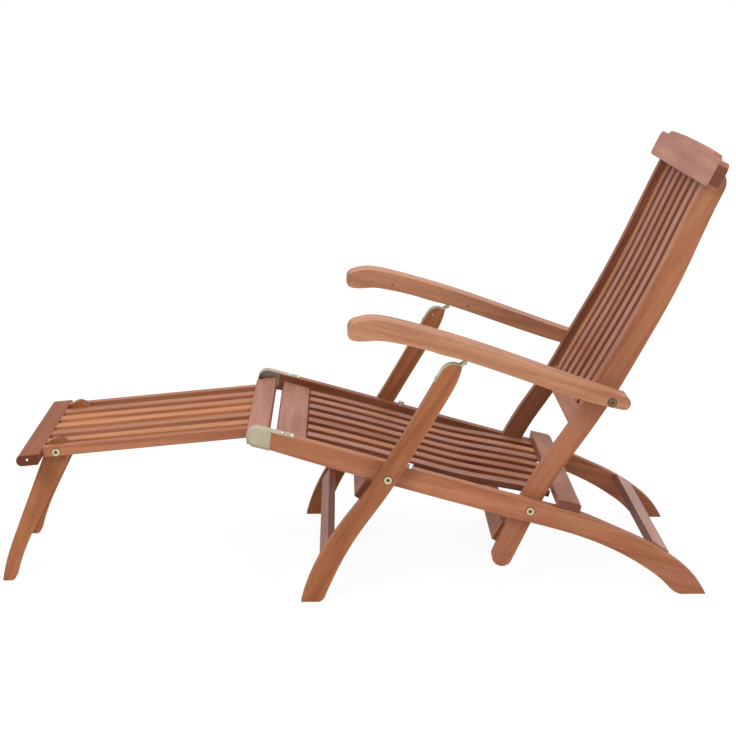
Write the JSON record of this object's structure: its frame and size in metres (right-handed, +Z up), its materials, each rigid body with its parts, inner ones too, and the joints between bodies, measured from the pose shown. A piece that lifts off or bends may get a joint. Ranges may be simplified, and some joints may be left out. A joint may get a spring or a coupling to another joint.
{
  "type": "folding deck chair",
  "caption": "Folding hardwood steamer deck chair with a slatted seat, a reclined slatted back, swept armrests and a hinged slatted footrest on folding legs.",
  "frame": {"origin": "on the floor under the middle of the chair's length and width, chair open", "axes": "+X from the feet towards the back of the chair, +Y towards the sitter's right, +Z up"},
  "size_m": [1.4795, 0.632, 0.9137],
  "materials": {
    "hardwood": "satin oiled",
    "brass": "dull",
    "steel": "satin"
  },
  "bodies": {
    "seat_frame": {"back_bolt_left": "steel", "back_bolt_right": "steel", "bracket_screws": "steel", "footrest_bracket_left": "brass", "footrest_bracket_right": "brass", "leg_bolt_left": "steel", "leg_bolt_right": "steel", "leg_stop_studs": "steel", "rear_leg_rail": "hardwood", "seat_batten_front": "hardwood", "seat_batten_middle": "hardwood", "seat_batten_rear": "hardwood", "seat_front_plank": "hardwood", "seat_rail_left": "hardwood", "seat_rail_right": "hardwood", "seat_rear_rail": "hardwood", "seat_slat_1": "hardwood", "seat_slat_2": "hardwood", "seat_slat_3": "hardwood", "seat_slat_4": "hardwood", "seat_slat_5": "hardwood", "seat_slat_6": "hardwood", "seat_slat_7": "hardwood"},
    "backrest": {"back_bottom_rail": "hardwood", "back_lowest_rail": "hardwood", "back_slat_1": "hardwood", "back_slat_2": "hardwood", "back_slat_3": "hardwood", "back_slat_4": "hardwood", "back_slat_5": "hardwood", "back_slat_6": "hardwood", "back_slat_7": "hardwood", "back_stile_left": "hardwood", "back_stile_right": "hardwood", "headrest": "hardwood"},
    "front_legs": {"front_leg_left": "hardwood", "front_leg_right": "hardwood", "front_leg_stop_rail": "hardwood", "front_leg_stretcher": "hardwood", "leg_strap_left": "brass", "leg_strap_right": "brass"},
    "arm_left": {"arm_bolt_left": "steel", "arm_leaf_left": "brass", "armrest_left": "hardwood"},
    "arm_right": {"arm_bolt_right": "steel", "arm_leaf_right": "brass", "armrest_right": "hardwood"},
    "footrest": {"footrest_end_bar": "hardwood", "footrest_leg_bolt_left": "steel", "footrest_leg_bolt_right": "steel", "footrest_rail_left": "hardwood", "footrest_rail_right": "hardwood", "footrest_rear_plank": "hardwood", "footrest_slat_1": "hardwood", "footrest_slat_2": "hardwood", "footrest_slat_3": "hardwood", "footrest_slat_4": "hardwood", "footrest_slat_5": "hardwood"},
    "footrest_leg_left": {"footrest_leg_left": "hardwood"},
    "footrest_leg_right": {"footrest_leg_right": "hardwood"}
  },
  "joints": [
    {"name": "back_fold", "type": "hinge", "parent": "seat_frame", "child": "backrest", "pos_m": [0.36284, 0, 0.181], "axis": [0, -1, 0], "range_deg": [0, 90]},
    {"name": "front_leg_fold", "type": "hinge", "parent": "seat_frame", "child": "front_legs", "pos_m": [0.07084, 0, 0.259], "axis": [0, -1, 0], "range_deg": [0, 90]},
    {"name": "arm_left_turn", "type": "hinge", "parent": "backrest", "child": "arm_left", "pos_m": [0.51584, 0, 0.422], "axis": [0, -1, 0], "range_deg": [-90, 0]},
    {"name": "arm_right_turn", "type": "hinge", "parent": "backrest", "child": "arm_right", "pos_m": [0.51584, 0, 0.422], "axis": [0, -1, 0], "range_deg": [-90, 0]},
    {"name": "footrest_tilt", "type": "hinge", "parent": "seat_frame", "child": "footrest", "pos_m": [-0.19441, 0, 0.33143], "axis": [0, -1, 0], "range_deg": [-12, 90]},
    {"name": "footrest_leg_left_fold", "type": "hinge", "parent": "footrest", "child": "footrest_leg_left", "pos_m": [-0.61226, -0.154, 0.28891], "axis": [0, -1, 0], "range_deg": [0, 115]},
    {"name": "footrest_leg_right_fold", "type": "hinge", "parent": "footrest", "child": "footrest_leg_right", "pos_m": [-0.61226, 0.154, 0.28891], "axis": [0, -1, 0], "range_deg": [0, 115]}
  ],
  "couplings": [
    {"joint": "front_leg_fold", "follows": "back_fold", "ratio": 1},
    {"joint": "arm_left_turn", "follows": "back_fold", "ratio": -1},
    {"joint": "arm_right_turn", "follows": "back_fold", "ratio": -1}
  ]
}
